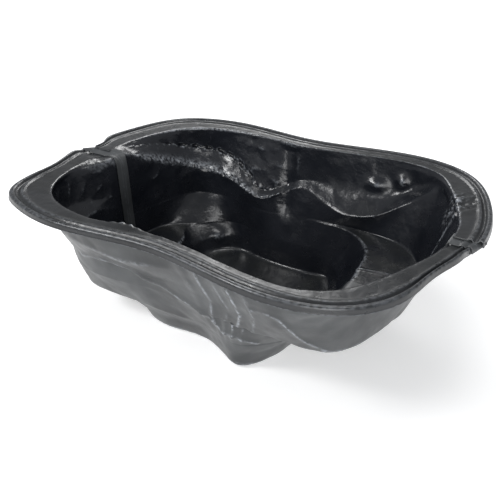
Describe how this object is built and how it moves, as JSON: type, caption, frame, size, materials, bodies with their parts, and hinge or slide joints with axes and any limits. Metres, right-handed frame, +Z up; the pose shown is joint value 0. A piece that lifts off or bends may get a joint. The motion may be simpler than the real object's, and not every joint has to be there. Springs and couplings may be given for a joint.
{
  "type": "folding pond liner",
  "caption": "Rigid preformed garden pond in two leaves joined by a moulded living hinge, with stepped shelves, plant ledges and a beaded rim.",
  "frame": {"origin": "on the ground, under the middle of the pond's overall length and width", "axes": "+Z up, +X along the fold towards the wide end, +Y across the fold towards the rear leaf"},
  "size_m": [1.22, 0.8942, 0.4],
  "materials": {
    "black_polyethylene": "glossy inside, satin outside",
    "black_polyethylene_hinge": "glossy, scuffed along the fold"
  },
  "bodies": {
    "rear": {"rear_half": "black_polyethylene", "fold_strip_small_end": "black_polyethylene_hinge", "fold_strip_floor": "black_polyethylene_hinge", "fold_strip_wide_end": "black_polyethylene_hinge"},
    "front": {"front_half": "black_polyethylene"}
  },
  "joints": [
    {"name": "fold", "type": "hinge", "parent": "rear", "child": "front", "pos_m": [0, 0, 0], "axis": [-1, 0, 0], "range_deg": [0, 3], "deforming": ["fold_strip_small_end", "fold_strip_floor", "fold_strip_wide_end"]}
  ]
}
